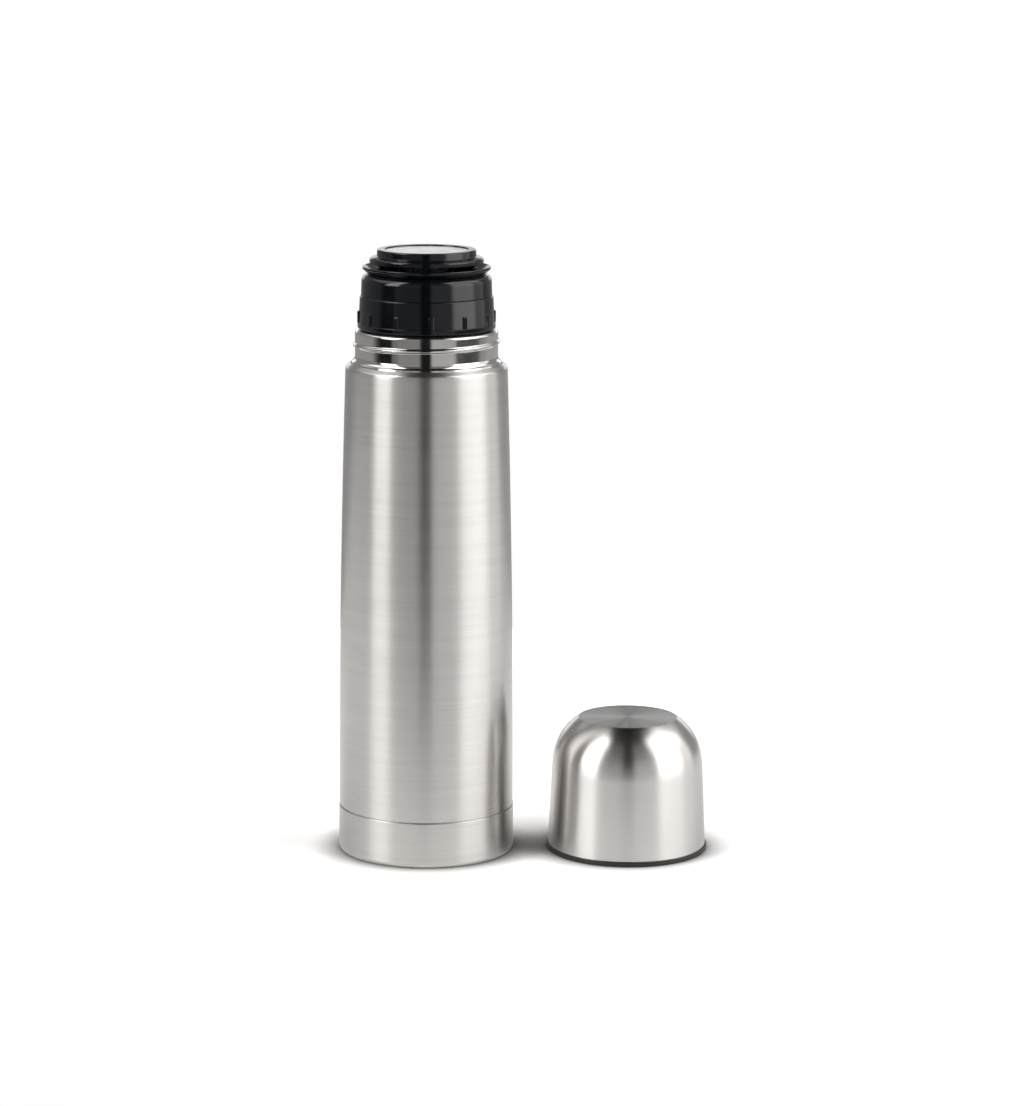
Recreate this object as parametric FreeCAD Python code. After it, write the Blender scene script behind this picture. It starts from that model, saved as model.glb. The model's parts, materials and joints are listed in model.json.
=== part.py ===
import FreeCAD, Part
import math
import os

# Stainless vacuum flask with a push-button stopper, and its cup standing mouth down beside it.
# Millimetres. The flask's axis is Z, and Z = 0 is the surface that the flask and the cup stand on.
# A radius is measured from the axis of the piece it belongs to.

# Driving dimensions of the flask
BASE_R = 35.25            # base cap, the widest part
CAP_TOP = 18.2            # top edge of the base cap
SHELL_FOOT_R = 35.05      # outer shell just above the cap
SHELL_MID = (34.05, 117.6)
SHELL_TOP = (32.15, 194.5)
SHOULDER = (32.05, 196.1)  # corner between the barrel and the sloping shoulder
NECK_R = 28.3             # outside of the neck
NECK_FOOT = 199.3         # where the shoulder meets the neck
RIM = 210.8               # top of the neck
STEEL = 0.4               # outer shell and cap sheet
VESSEL_STEEL = 0.35       # inner vessel sheet
BORE_R = 24.2             # inside of the neck
THROAT_R = 21.0           # narrowest bore, below the seat
THROAT_Z = 187.0          # foot of the 45 degree seat above the throat
VESSEL_FOOT_R = 31.1
VESSEL_WELD = 18.0        # weld between the inner vessel and its bottom
VESSEL_FLOOR = 12.0

# Threads
CUP_LEAD = 3.0            # single rolled bead that holds the cup
CUP_BEAD_HEIGHT = 0.75
CUP_BEAD_START = 204.2
CUP_BEAD_ANGLE = 110
STOPPER_LEAD = 8.0        # two starts, a quick thread
STOPPER_SWEEP = 288

# Driving dimensions of the stopper
CORE_R = 22.9             # threaded plug, at the root of its thread
CORE_FOOT = 184.0
COLLAR_FOOT = 211.0
COLLAR_FLANGE_R = 27.3
COLLAR_TOP = 224.3
HOUSING_R = 25.9
HOUSING_TOP = 232.95
POUR_R = 25.3             # tip of the pouring lip
POUR_WALL_R = 23.2
POUR_BORE_R = 20.8
LIP_R = 22.5              # lip of the push button
BUTTON_R = 19.5
BUTTON_TOP = 242.6
DISC_R = 16.4
STEM_R = 3.0
STEM_PLAY = 0.05          # running clearance of the stem in its guide
SPRING_R = 6.0
SPRING_WIRE_R = 0.5
RIB_COUNT = 12

# Driving dimensions of the cup
CUP_X = 81.25
CUP_Y = 0.5
CUP_HEIGHT = 53.9
CUP_MOUTH_R = 31.85
CUP_BAND_R = 32.4
HIP_R, HIP_Z = -10.5, 32.0  # centre of the shallow arc above the straight wall
HIP_RADIUS = 41.0
HIP_FOOT, HIP_TOP = 2.4, 10.4  # where it starts and ends, in degrees up from level
DOME_RADIUS = 21.5        # arc that carries on from it to the flat top
CUP_STEEL = 0.4
LINER_WALL = 2.0

ORIGIN = FreeCAD.Vector(0, 0, 0)
UP = FreeCAD.Vector(0, 0, 1)


def spot(r, z):
    return FreeCAD.Vector(r, 0, z)


def rounded(before, corner, after, radius):
    """Start, middle and end of the arc that rounds a corner."""
    back = (before - corner).normalize()
    ahead = (after - corner).normalize()
    half = back.getAngle(ahead) / 2
    reach = radius / math.tan(half)
    bisector = (back + ahead).normalize()
    middle = corner + bisector * (radius / math.sin(half) - radius)
    return corner + back * reach, middle, corner + ahead * reach


def trace(corners, closed=True):
    """Wire in the r-z plane through corners.

    A corner is (r, z), or (r, z, rounding), or (r, z, via_r, via_z) where the edge that
    arrives there is an arc through the via point.
    """
    spots = [spot(corner[0], corner[1]) for corner in corners]
    turns = []
    for i, corner in enumerate(corners):
        if len(corner) == 3:
            turns.append(rounded(spots[i - 1], spots[i], spots[(i + 1) % len(spots)], corner[2]))
        else:
            turns.append((spots[i],))
    edges = []
    for i, corner in enumerate(corners):
        if i or closed:
            start = turns[i - 1][-1]
            if len(corner) == 4:
                edges.append(Part.Arc(start, spot(*corner[2:]), turns[i][0]).toShape())
            else:
                edges.append(Part.makeLine(start, turns[i][0]))
        if len(turns[i]) == 3:
            edges.append(Part.Arc(*turns[i]).toShape())
    return Part.Wire(edges)


def turned(*corners):
    """Solid turned from a closed outline."""
    return Part.Face(trace(corners)).revolve(ORIGIN, UP, 360)


def sheet(thickness, *corners):
    """Turned sheet: the open outline runs up the outside, and the thickness goes inward."""
    face = trace(corners, closed=False).makeOffset2D(thickness, 2, True, True, False)
    return face.Faces[0].revolve(ORIGIN, UP, 360)


def block(x0, x1, y0, y1, z0, z1):
    return Part.makeBox(x1 - x0, y1 - y0, z1 - z0, FreeCAD.Vector(x0, y0, z0))


def around(shape, angle):
    copy = shape.copy()
    copy.rotate(ORIGIN, UP, angle)
    return copy


def merged(shape, others):
    """One solid of a shape and the pieces that grow out of it."""
    return shape.fuse(others).removeSplitter().Solids[0]


def ridge(radius, height, base, lead, start_z, start_angle, sweep):
    """Helical thread ridge on a cylinder. A negative height stands inward."""
    sunk = radius - math.copysign(0.2, height)
    crest = radius + height
    half = base / 2
    top = base * 0.3
    helix = Part.makeHelix(lead, lead * sweep / 360, radius)
    section = Part.makePolygon(
        [spot(sunk, -half), spot(crest, -top), spot(crest, top), spot(sunk, half), spot(sunk, -half)]
    )
    solid = Part.Wire(helix.Edges).makePipeShell([section], True, True)
    solid.translate(UP * start_z)
    return around(solid, start_angle)


# --- flask ---


def outer_shell():
    """Barrel, shoulder and neck in one drawn sheet, with the cup's thread rolled into the neck."""
    body = sheet(
        STEEL,
        (BASE_R - STEEL, 5.0),
        (BASE_R - STEEL, CAP_TOP + 0.2),
        (SHELL_FOOT_R, CAP_TOP + 0.5),
        (SHELL_FOOT_R, 20.0),
        (*SHELL_TOP, *SHELL_MID),
        (*SHOULDER, 1.4),
        (NECK_R, NECK_FOOT, 2.6),
        (NECK_R, RIM, 1.0),
        (NECK_R - 1.3, RIM),
    )
    bead = ridge(NECK_R, CUP_BEAD_HEIGHT, 2.2, CUP_LEAD, CUP_BEAD_START, CUP_BEAD_ANGLE, 320)
    return merged(body, [bead])


def inner_vessel():
    """Vacuum-insulated liner from its lip down to the weld, with the stopper's thread in its neck."""
    bend = VESSEL_STEEL
    body = sheet(
        VESSEL_STEEL,
        (VESSEL_FOOT_R + bend, VESSEL_WELD),
        (29.0 + bend, 170.0, 30.45 + bend, 95.0),
        (28.8 + bend, 177.2, 5.0),
        (THROAT_R + bend, 183.2, 1.5),
        (THROAT_R + bend, THROAT_Z - 0.2, 0.8),
        (BORE_R + bend, THROAT_Z + 3.0, 0.8),
        (BORE_R + bend, RIM - VESSEL_STEEL, 0.7),
        (NECK_R - 1.3, RIM - VESSEL_STEEL),
    )
    beads = [
        ridge(BORE_R, -0.95, 1.5, STOPPER_LEAD, 198.0, start, STOPPER_SWEEP) for start in (0, 180)
    ]
    return merged(body, beads)


def inner_bottom():
    return turned(
        (0, VESSEL_FLOOR),
        (VESSEL_FOOT_R + VESSEL_STEEL, VESSEL_FLOOR, 5.0),
        (VESSEL_FOOT_R + VESSEL_STEEL, VESSEL_WELD),
        (VESSEL_FOOT_R, VESSEL_WELD),
        (VESSEL_FOOT_R, VESSEL_FLOOR + VESSEL_STEEL, 5.0 - VESSEL_STEEL),
        (0, VESSEL_FLOOR + VESSEL_STEEL),
    )


def outer_bottom():
    """Dished plate that closes the outer shell, with the hole that the air was drawn out of."""
    edge = BASE_R - 2 * STEEL
    return turned(
        (1.0, 9.0),
        (1.0, 9.6),
        (4.4, 9.6),
        (5.2, 8.6),
        (edge, 8.6, 1.2),
        (edge, 5.0),
        (edge - STEEL, 5.0),
        (edge - STEEL, 8.0, 0.6),
        (4.8, 8.0),
        (4.0, 9.0),
    )


def vacuum_plug():
    """Bead that seals the evacuation hole."""
    return turned((0, 7.4), (2.8, 9.0, 1.9, 7.8), (1.0, 9.0), (1.0, 9.7), (0, 9.7))


def getter():
    pill = Part.makeCylinder(4.0, 1.6)
    return pill.translated(FreeCAD.Vector(18, 0, 8.6))


def getter_clip():
    """Strip with two welded feet that holds the getter on the outer bottom."""
    strap = block(17, 19, -7.5, 7.5, 8.6, 10.5)
    under = block(17, 19, -4.0, 4.0, 8.6, 10.2)
    over = [block(17, 19, side * 5.9 - 1.6, side * 5.9 + 1.6, 8.9, 10.5) for side in (-1, 1)]
    return strap.cut([under] + over)


def copper_foil():
    """Wrap on the inner vessel that throws back radiated heat."""
    foil = 0.1
    gap = VESSEL_STEEL + foil + 0.02
    return sheet(foil, (31.07 + gap, 22.0), (29.1 + gap, 166.0, 30.45 + gap, 95.0))


def base_cap():
    """Pan pressed over the foot of the flask, raised in the middle so that it rests on a ring."""
    return turned(
        (0, 1.5),
        (23.0, 1.5),
        (24.6, 0),
        (BASE_R, 0, 1.8),
        (BASE_R, CAP_TOP, 0.25),
        (BASE_R - STEEL, CAP_TOP),
        (BASE_R - STEEL, STEEL, 1.8 - STEEL),
        (25.0, STEEL),
        (23.4, 1.5 + STEEL),
        (0, 1.5 + STEEL),
    )


# --- stopper ---


def neck_gasket():
    """Silicone ring at the foot of the stopper that closes on the 45 degree seat."""
    bore = 19.1
    return turned(
        (bore, CORE_FOOT + 1.1),
        (20.5, CORE_FOOT + 1.1, 0.3),
        (20.5, THROAT_Z - 0.1, 0.3),
        (22.7, THROAT_Z + 2.1, 0.2),
        (bore, THROAT_Z + 2.1),
    )


def stopper_core():
    """Hollow threaded plug: the valve closes on its foot, and a ledge inside carries the guide."""
    body = turned(
        (11.0, CORE_FOOT),
        (19.6, CORE_FOOT),
        (19.6, CORE_FOOT + 1.0),
        (19.0, CORE_FOOT + 1.0),
        (19.0, THROAT_Z + 2.25),
        (CORE_R, THROAT_Z + 2.25, 0.3),
        (CORE_R, COLLAR_TOP),
        (20.0, COLLAR_TOP),
        (20.0, 214.5),
        (18.9, 214.5),
        (18.9, 192.5),
        (17.4, 191.0),
        (17.4, CORE_FOOT + 2.5),
        (11.0, CORE_FOOT + 2.5),
    )
    ridges = [
        ridge(CORE_R, 1.05, 1.5, STOPPER_LEAD, 196.0, start, STOPPER_SWEEP) for start in (0, 180)
    ]
    return merged(body, ridges)


def grip_collar():
    """Ribbed collar that the hand turns."""
    body = turned(
        (CORE_R, COLLAR_FOOT),
        (26.45, COLLAR_FOOT),
        (COLLAR_FLANGE_R, 211.0, 0.4),
        (COLLAR_FLANGE_R, 213.7, 0.2),
        (26.85, 213.75),
        (26.35, COLLAR_TOP, 0.4),
        (24.8, COLLAR_TOP),
        (25.3, 212.4),
        (CORE_R, 212.4),
    )
    rib = block(26.0, 27.4, -0.83, 0.83, 213.6, 218.1)
    first = -85
    ribs = [around(rib, first + 360 / RIB_COUNT * i) for i in range(RIB_COUNT)]
    return merged(body, ribs)


def upper_housing():
    """Snapped into the core: carries the pouring ring, and keeps the guide down on its ledge."""
    return turned(
        (17.6, 217.0),
        (20.0, 217.0),
        (20.0, 219.2),
        (18.8, 219.2),
        (18.8, 220.4),
        (20.0, 220.4),
        (20.0, COLLAR_TOP),
        (HOUSING_R, COLLAR_TOP, 0.3),
        (HOUSING_R - 0.3, HOUSING_TOP, 2.8),
        (POUR_WALL_R, HOUSING_TOP),
        (POUR_WALL_R, COLLAR_TOP + 1.8),
        (17.6, COLLAR_TOP + 1.8),
    )


def housing_gasket():
    ring = Part.makeTorus(19.4, 0.6)
    return ring.translated(UP * 219.8)


def pour_ring():
    """Flared ring with a sharp lip that the drink leaves without dripping."""
    return turned(
        (POUR_BORE_R, COLLAR_TOP + 1.8),
        (POUR_WALL_R, COLLAR_TOP + 1.8),
        (POUR_WALL_R, HOUSING_TOP),
        (POUR_R, 234.9, 0.3),
        (POUR_R, 235.9, 0.35),
        (24.5, 235.9, 0.3),
        (POUR_BORE_R, 232.4, 0.4),
    )


def stem_guide():
    """Spider that centres the valve stem and carries the foot of the spring."""
    floor = 214.5
    hub = turned(
        (STEM_R + STEM_PLAY, 206.0),
        (4.8, 206.0, 0.4),
        (4.8, floor),
        (7.5, floor),
        (7.5, floor + 2.5, 0.3),
        (4.8, floor + 2.5),
        (4.8, 225.0, 0.4),
        (STEM_R + STEM_PLAY, 225.0),
    )
    ring = turned((17.6, floor), (20.0, floor), (20.0, floor + 2.5), (17.6, floor + 2.5))
    spoke = block(7.0, 18.0, -1.5, 1.5, floor, floor + 2.5)
    return merged(hub, [ring] + [around(spoke, 90 * i) for i in range(4)])


def button_spring():
    """Open coil that lifts the button and so holds the valve shut."""
    foot = 217.0 + SPRING_WIRE_R
    top = 238.1 - SPRING_WIRE_R
    turns = 6
    helix = Part.makeHelix((top - foot) / turns, top - foot, SPRING_R)
    wire = Part.Wire(Part.makeCircle(SPRING_WIRE_R, spot(SPRING_R, 0), FreeCAD.Vector(0, 1, 0)))
    coil = Part.Wire(helix.Edges).makePipeShell([wire], True, True)
    return coil.translated(UP * foot)


# --- button and valve ---


def push_button():
    """Mushroom head with its own lip, hollow underneath, with a socket for the stem."""
    ceiling = 238.2
    deck = ceiling + 2.0
    return turned(
        (0, ceiling),
        (STEM_R, ceiling),
        (STEM_R, 232.6),
        (4.6, 232.6),
        (4.6, ceiling),
        (15.0, ceiling, 0.8),
        (15.0, 234.8),
        (17.2, 234.8, 0.5),
        (21.1, 236.9, 0.5),
        (LIP_R, 237.3, 0.3),
        (LIP_R, 239.2, 0.9),
        (BUTTON_R + 0.1, 239.9),
        (BUTTON_R, BUTTON_TOP, 0.5),
        (DISC_R + 0.1, BUTTON_TOP, 0.15),
        (DISC_R + 0.1, deck),
        (0, deck),
    )


def button_disc():
    floor = 240.2
    return turned((0, floor), (DISC_R, floor), (DISC_R, floor + 2.0, 0.2), (0, floor + 2.0))


def valve_stem():
    foot = CORE_FOOT - 1.0
    return turned(
        (1.25, foot),
        (STEM_R, foot),
        (STEM_R, 238.2),
        (0, 238.2),
        (0, foot + 8.0),
        (1.25, foot + 8.0),
    )


def valve_head():
    top = CORE_FOOT - 1.0
    return turned((1.25, top - 1.8), (13.2, top - 1.8, 0.6), (13.2, top, 0.4), (1.25, top))


def valve_seal():
    foot = CORE_FOOT - 1.0
    return turned((10.6, foot), (12.7, foot), (12.7, foot + 0.9, 0.3), (10.6, foot + 0.9, 0.3))


def valve_screw():
    """Cross-recessed screw that clamps the valve head to the stem."""
    head = CORE_FOOT - 2.8
    foot = head - 1.6
    body = turned(
        (0, foot),
        (2.8, foot, 0.7),
        (2.8, head),
        (1.25, head),
        (1.25, head + 9.0),
        (0, head + 9.0),
    )
    slot = block(-2.0, 2.0, -0.35, 0.35, foot, foot + 0.9)
    return body.cut([slot, around(slot, 90)])


# --- cup, drawn with its mouth at Z = 0 ---


def on_arc(centre_r, centre_z, radius, degrees):
    angle = math.radians(degrees)
    return centre_r + radius * math.cos(angle), centre_z + radius * math.sin(angle)


def cup_wall(inset, foot):
    """Open outline of the cup at an even depth inside its outer face: wall, hip and dome."""
    foot_of_hip = on_arc(HIP_R, HIP_Z, HIP_RADIUS - inset, HIP_FOOT)
    along_hip = on_arc(HIP_R, HIP_Z, HIP_RADIUS - inset, (HIP_FOOT + HIP_TOP) / 2)
    dome_centre = on_arc(HIP_R, HIP_Z, HIP_RADIUS - DOME_RADIUS, HIP_TOP)
    radius = DOME_RADIUS - inset
    crown = math.degrees(math.asin((CUP_HEIGHT - inset - dome_centre[1]) / radius))
    shoulder = on_arc(*dome_centre, radius, HIP_TOP)
    return [
        (CUP_MOUTH_R - inset, foot),
        foot_of_hip,
        (*shoulder, *along_hip),
        (*on_arc(*dome_centre, radius, crown), *on_arc(*dome_centre, radius, (crown + HIP_TOP) / 2)),
    ]


def backwards(corners):
    """The same open outline, walked from its other end."""
    back = [corners[-1][:2]]
    for later, earlier in zip(corners[::-1], corners[-2::-1]):
        back.append((*earlier[:2], *later[2:]))
    return back


def cup_skin(inset, thickness, foot):
    """Closed cup of even thickness between two such outlines."""
    outside = cup_wall(inset, foot)
    inside = cup_wall(inset + thickness, foot)
    return turned((0, outside[-1][1]), (0, inside[-1][1]), *backwards(inside), *outside)


def cup_shell():
    return cup_skin(0, CUP_STEEL, 1.0)


def cup_liner():
    """Moulded liner with the thread ridge that rides under the neck's bead."""
    body = cup_skin(CUP_STEEL, LINER_WALL, 1.0)
    bore = CUP_MOUTH_R - CUP_STEEL - LINER_WALL
    return merged(body, [ridge(bore, -0.8, 1.4, CUP_LEAD, 5.3, CUP_BEAD_ANGLE, 300)])


def cup_rim_band():
    bore = CUP_MOUTH_R - CUP_STEEL - LINER_WALL
    return turned(
        (bore, 0, 0.3),
        (CUP_BAND_R, 0, 0.35),
        (CUP_BAND_R, 2.0, 0.35),
        (CUP_MOUTH_R, 2.0),
        (CUP_MOUTH_R, 1.0),
        (bore, 1.0),
    )


FLASK_PIECES = [
    outer_shell,
    inner_vessel,
    inner_bottom,
    outer_bottom,
    vacuum_plug,
    getter,
    getter_clip,
    copper_foil,
    base_cap,
    neck_gasket,
    stopper_core,
    grip_collar,
    upper_housing,
    housing_gasket,
    pour_ring,
    stem_guide,
    button_spring,
    push_button,
    button_disc,
    valve_stem,
    valve_head,
    valve_seal,
    valve_screw,
]
CUP_PIECES = [cup_shell, cup_liner, cup_rim_band]

os.makedirs("parts", exist_ok=True)
for make in FLASK_PIECES + CUP_PIECES:
    piece = make()
    if make in CUP_PIECES:
        piece.translate(FreeCAD.Vector(CUP_X, CUP_Y, 0))
    if not piece.isValid() or len(piece.Solids) != 1:
        raise ValueError(make.__name__ + " is not one valid solid")
    piece.exportStep("parts/" + make.__name__ + ".step")
    print(make.__name__, round(piece.Volume), "mm3")
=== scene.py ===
import json
import math

import bpy
import numpy as np
from mathutils import Matrix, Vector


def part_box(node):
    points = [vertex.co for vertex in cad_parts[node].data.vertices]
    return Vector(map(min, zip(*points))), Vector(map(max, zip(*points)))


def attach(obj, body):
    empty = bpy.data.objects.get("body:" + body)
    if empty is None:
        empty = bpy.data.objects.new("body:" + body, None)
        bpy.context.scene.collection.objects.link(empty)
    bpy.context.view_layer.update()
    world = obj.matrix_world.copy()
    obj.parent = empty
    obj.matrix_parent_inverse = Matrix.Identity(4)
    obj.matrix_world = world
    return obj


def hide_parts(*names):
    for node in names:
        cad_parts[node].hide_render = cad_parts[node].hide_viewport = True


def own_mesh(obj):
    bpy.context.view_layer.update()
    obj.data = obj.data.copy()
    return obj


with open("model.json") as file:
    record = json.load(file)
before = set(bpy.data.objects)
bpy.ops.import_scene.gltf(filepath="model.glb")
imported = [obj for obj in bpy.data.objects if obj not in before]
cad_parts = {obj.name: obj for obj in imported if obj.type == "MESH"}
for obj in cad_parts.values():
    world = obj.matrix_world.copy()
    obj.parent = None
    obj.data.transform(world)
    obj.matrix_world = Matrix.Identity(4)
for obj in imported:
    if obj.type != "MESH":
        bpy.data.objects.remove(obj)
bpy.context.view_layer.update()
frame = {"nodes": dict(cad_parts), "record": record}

# Stainless vacuum flask with its push-button stopper, and its cup standing mouth down beside it.
# Outlines are in millimetres, as radius and height about each piece's own axis, and lathe() turns
# them into meshes in metres. The main sizes come from the frame.

MM = 0.001
MOUNTS = {mount["name"]: mount for mount in frame["record"]["mounts"]}
CUP_AXIS = MOUNTS["cup_rest"]["pos_m"]


def measure(node, axis_x=0.0):
    """Radius, foot and top of a turned CAD node, in millimetres."""
    low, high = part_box(node)
    return tuple(round(value / MM, 2) for value in (high.x - axis_x, low.z, high.z))


# Driving dimensions, in millimetres
BASE_R, BASE_FOOT, CAP_TOP = measure("base_cap")
RIM = measure("outer_shell")[2]
SHELL_FOOT_R = BASE_R - 0.2
SHELL_MID = (34.05, 117.6)
SHELL_TOP = (32.15, RIM - 16.3)
SHOULDER = (32.05, RIM - 14.7)
NECK_R = 28.3
NECK_FOOT = RIM - 11.5
NECK_LIP = 1.3                   # how far the rim curls in from the neck
SEAM_R = 30.1                    # where the barrel ends on the shoulder
SEAM_EDGE = 0.12                 # rounding of its edge there
SEAM_GAP = 0.5                   # from that edge to where the neck comes up to the surface
SEAM_DEPTH = 0.7
SKIN = 0.25                      # drawn thickness of barrel and neck, which lap at the seam
STEEL = 0.4
CAP_FIT = 0.05                   # between the base cap and the shell inside it
CAP_EDGE = 1.8                   # rounding of the base cap's foot
PAN_RISE = 1.5                   # how far its middle stands off the table
VESSEL_STEEL = 0.35
VESSEL_DROP = 0.35               # from the rim down to the liner's welded lip
BORE_R = 24.2
THROAT_R = 21.0
CORE_R = 22.9
CORE_FOOT = measure("stopper_core")[1]
THROAT_Z = CORE_FOOT + 3.0
PLUG_LEAD = 8.0                  # rise of the stopper's two-start thread in one turn
PLUG_SWEEP = 288                 # degrees that each start runs
PLUG_STARTS = (0, 180)
COLLAR_FOOT, COLLAR_TOP = measure("grip_collar")[1:]
COLLAR_FLANGE_R = 27.3
COLLAR_WALL_R = (26.85, 26.35)   # over the flange, and at the top
COLLAR_WALL = 10.55              # its height
RIB_R = 27.4
RIB_DROP = 6.2                   # from the collar's top down to the tops of the ribs
SPIGOT_R = 20.0                  # of the housing's skirt, which stands in the plug
HOUSING_R, _, HOUSING_TOP = measure("upper_housing")
POUR_R, _, POUR_TOP = measure("pour_ring")
POUR_FOOT = COLLAR_TOP + 1.8
POUR_WALL_R = 23.2
POUR_BORE_R = 20.8
LIP_R, SOCKET_FOOT, BUTTON_TOP = measure("push_button")
BUTTON_R = 19.5
BUTTON_CEILING = BUTTON_TOP - 4.4
DISC_R, DISC_FOOT, DISC_TOP = measure("button_disc")
STEM_R = 3.0
STEM_FOOT = CORE_FOOT - 1.0
SCREW_R = 1.25
SPRING_FOOT, SPRING_TOP = measure("button_spring")[1:]
CUP_HEIGHT = measure("cup_shell", CUP_AXIS[0])[2]
CUP_BAND_R = measure("cup_rim_band", CUP_AXIS[0])[0]
CUP_MOUTH_R = CUP_BAND_R - 0.55
CUP_LEAD = 3.0                   # rise of the cup's thread in one turn
CUP_DISC_R = 19.8                # of the flat top, where its darker colour and radial streaks of painted reflection show
BAND_FLOOR = 1.0                 # thickness of the rim band under the cup's edge
HIP_R, HIP_Z = -10.5, 32.0       # centre of the shallow arc above the cup's straight wall
HIP_RADIUS = 41.0
HIP_FOOT, HIP_TOP = 2.4, 10.4    # where it starts and ends, in degrees up from level
DOME_RADIUS = 21.5
LINER_WALL = 2.0

COLUMNS = 288                    # faces round a turned piece
ARC_STEP = math.radians(9)       # longest turn between two points of an arc
ARC_CHORD = 6.0                  # longest run between two points of an arc
RELIEF_STEP = 0.12               # finest row, on a surface that carries a thread or ribs


# --- outlines ---


def unit(vector):
    """The same direction, at length 1."""
    return vector / np.linalg.norm(vector)


def rounded(before, corner, after, radius):
    """Start, middle and end of the arc that rounds a corner."""
    back = unit(before - corner)
    ahead = unit(after - corner)
    half = math.acos(float(np.clip(back @ ahead, -1, 1))) / 2
    bisector = unit(back + ahead)
    reach = radius / math.tan(half)
    middle = corner + bisector * (radius / math.sin(half) - radius)
    return corner + back * reach, middle, corner + ahead * reach


def straight(start, end, step=None):
    """Points of a straight edge, and its outward normal at each. The solid is on the left."""
    run = end - start
    length = float(np.linalg.norm(run))
    count = max(1, math.ceil(length / step)) if step else 1
    points = start + np.linspace(0, 1, count + 1)[:, None] * run
    normal = np.array((run[1], -run[0])) / length
    return points, np.tile(normal, (count + 1, 1))


def curved(start, via, end):
    """Points of an arc through three points, and its outward normals."""
    system = 2 * np.array((via - start, end - start))
    squares = np.array((via @ via - start @ start, end @ end - start @ start))
    centre = np.linalg.solve(system, squares)
    radius = float(np.linalg.norm(start - centre))
    first = math.atan2(*(start - centre)[::-1])
    last = math.atan2(*(end - centre)[::-1])
    chord_a, chord_b = via - start, end - via
    left = chord_a[0] * chord_b[1] - chord_a[1] * chord_b[0] > 0
    sweep = (last - first) % (2 * math.pi) if left else -((first - last) % (2 * math.pi))
    count = max(2, math.ceil(abs(sweep) / ARC_STEP), math.ceil(abs(sweep) * radius / ARC_CHORD))
    angles = first + np.linspace(0, 1, count + 1) * sweep
    ring = np.stack((np.cos(angles), np.sin(angles)), axis=1)
    points = centre + radius * ring
    points[0], points[-1] = start, end
    return points, ring if left else -ring


def edges_of(corners, closed=True, step=None):
    """Edges of an outline. A corner is (r, z), (r, z, rounding), or (r, z, via_r, via_z) where the
    edge that arrives there is an arc. Straight edges are cut into runs of at most step."""
    spots = [np.array(corner[:2], float) for corner in corners]
    turns = []
    for i, corner in enumerate(corners):
        if len(corner) == 3:
            turns.append(rounded(spots[i - 1], spots[i], spots[(i + 1) % len(spots)], corner[2]))
        else:
            turns.append((spots[i],))
    edges = []
    for i, corner in enumerate(corners):
        if i or closed:
            start, end = turns[i - 1][-1], turns[i][0]
            if len(corner) == 4:
                edges.append(curved(start, np.array(corner[2:], float), end))
            elif np.linalg.norm(end - start) > 1e-6:
                edges.append(straight(start, end, step))
        if len(turns[i]) == 3:
            edges.append(curved(*turns[i]))
    return edges


def walled(outer, thickness):
    """Closed edges of a sheet: an open outline up its outside, and the same moved inward."""
    inner = [(p[::-1] - thickness * n[::-1], -n[::-1]) for p, n in outer[::-1]]
    top = straight(outer[-1][0][-1], inner[0][0][0])
    foot = straight(inner[-1][0][-1], outer[0][0][0])
    return outer + [top] + inner + [foot]


# --- meshes ---


def link(name, mesh, material, body, nodes, axis=(0, 0, 0)):
    """Piece of the visual model: its finish, its body and the CAD nodes it stands for."""
    piece = bpy.data.objects.new(name, mesh)
    piece.location = axis
    bpy.context.scene.collection.objects.link(piece)
    mesh.materials.append(material)
    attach(piece, body)
    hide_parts(*nodes)
    return piece


def slopes(relief, turn, heights):
    """Depth of a relief, and how it changes with angle and with height."""
    nudge = 1e-3
    depth = relief(turn, heights)
    by_turn = (relief(turn + nudge, heights) - relief(turn - nudge, heights)) / (2 * nudge)
    by_height = (relief(turn, heights + nudge) - relief(turn, heights - nudge)) / (2 * nudge)
    return depth, by_turn, by_height


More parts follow.
